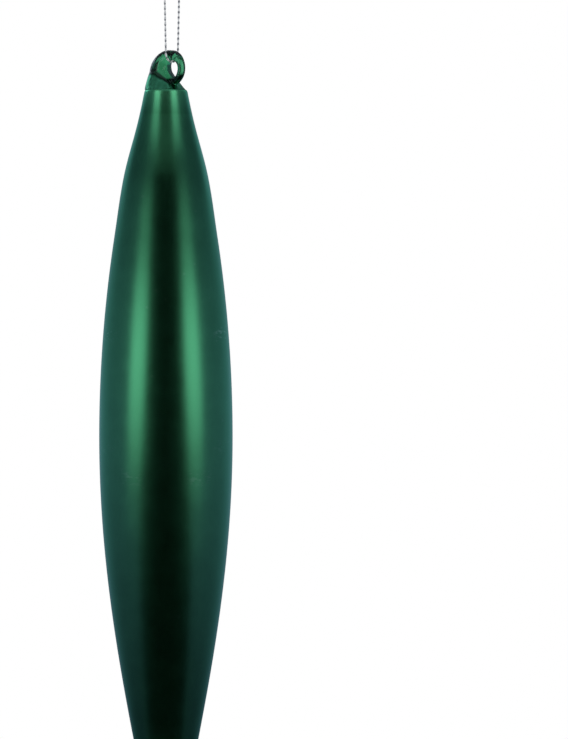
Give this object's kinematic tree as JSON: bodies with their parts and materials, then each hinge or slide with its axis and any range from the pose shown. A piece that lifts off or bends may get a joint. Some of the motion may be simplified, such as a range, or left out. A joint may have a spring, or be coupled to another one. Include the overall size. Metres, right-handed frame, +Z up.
{
  "type": "finial ornament",
  "caption": "Long satin green blown-glass drop with a glossy curled glass hook and a knotted loop of twisted silver thread, for hanging from a twig or peg.",
  "frame": {"origin": "the hanging point: the inside of the loop's round top, where it bears on a peg or twig", "axes": "+Z up along the hanging thread; the eye of the hook faces along Y, and the hook curls over towards +X"},
  "size_m": [0.0514, 0.0514, 0.3909],
  "materials": {
    "satin_lacquer": "satin metallic lacquer",
    "green_glass": "fire-polished",
    "silvering": "mirror film",
    "silver_thread": "twisted metallic yarn"
  },
  "bodies": {
    "hanger": {"hanging_loop": "silver_thread", "thread_knot": "silver_thread"},
    "legs": {"thread_legs": "silver_thread"},
    "bight": {"thread_bight": "silver_thread"},
    "ornament": {"glass_hook": "green_glass", "glass_body": "green_glass", "silver_lining": "silvering", "satin_coat": "satin_lacquer"}
  },
  "joints": [
    {"name": "thread_twist", "type": "hinge", "parent": "hanger", "child": "legs", "pos_m": [0, 0, -0.0094], "axis": [0, 0, 1], "range_deg": [-180, 180], "stiffness_Nm_per_rad": 0.00012},
    {"name": "side_swing", "type": "hinge", "parent": "legs", "child": "bight", "pos_m": [0, 0, -0.06535], "axis": [0, 1, 0], "range_deg": [-50, 50]},
    {"name": "fore_aft_swing", "type": "hinge", "parent": "bight", "child": "ornament", "pos_m": [0, 0, -0.066], "axis": [1, 0, 0], "range_deg": [-75, 75]}
  ]
}
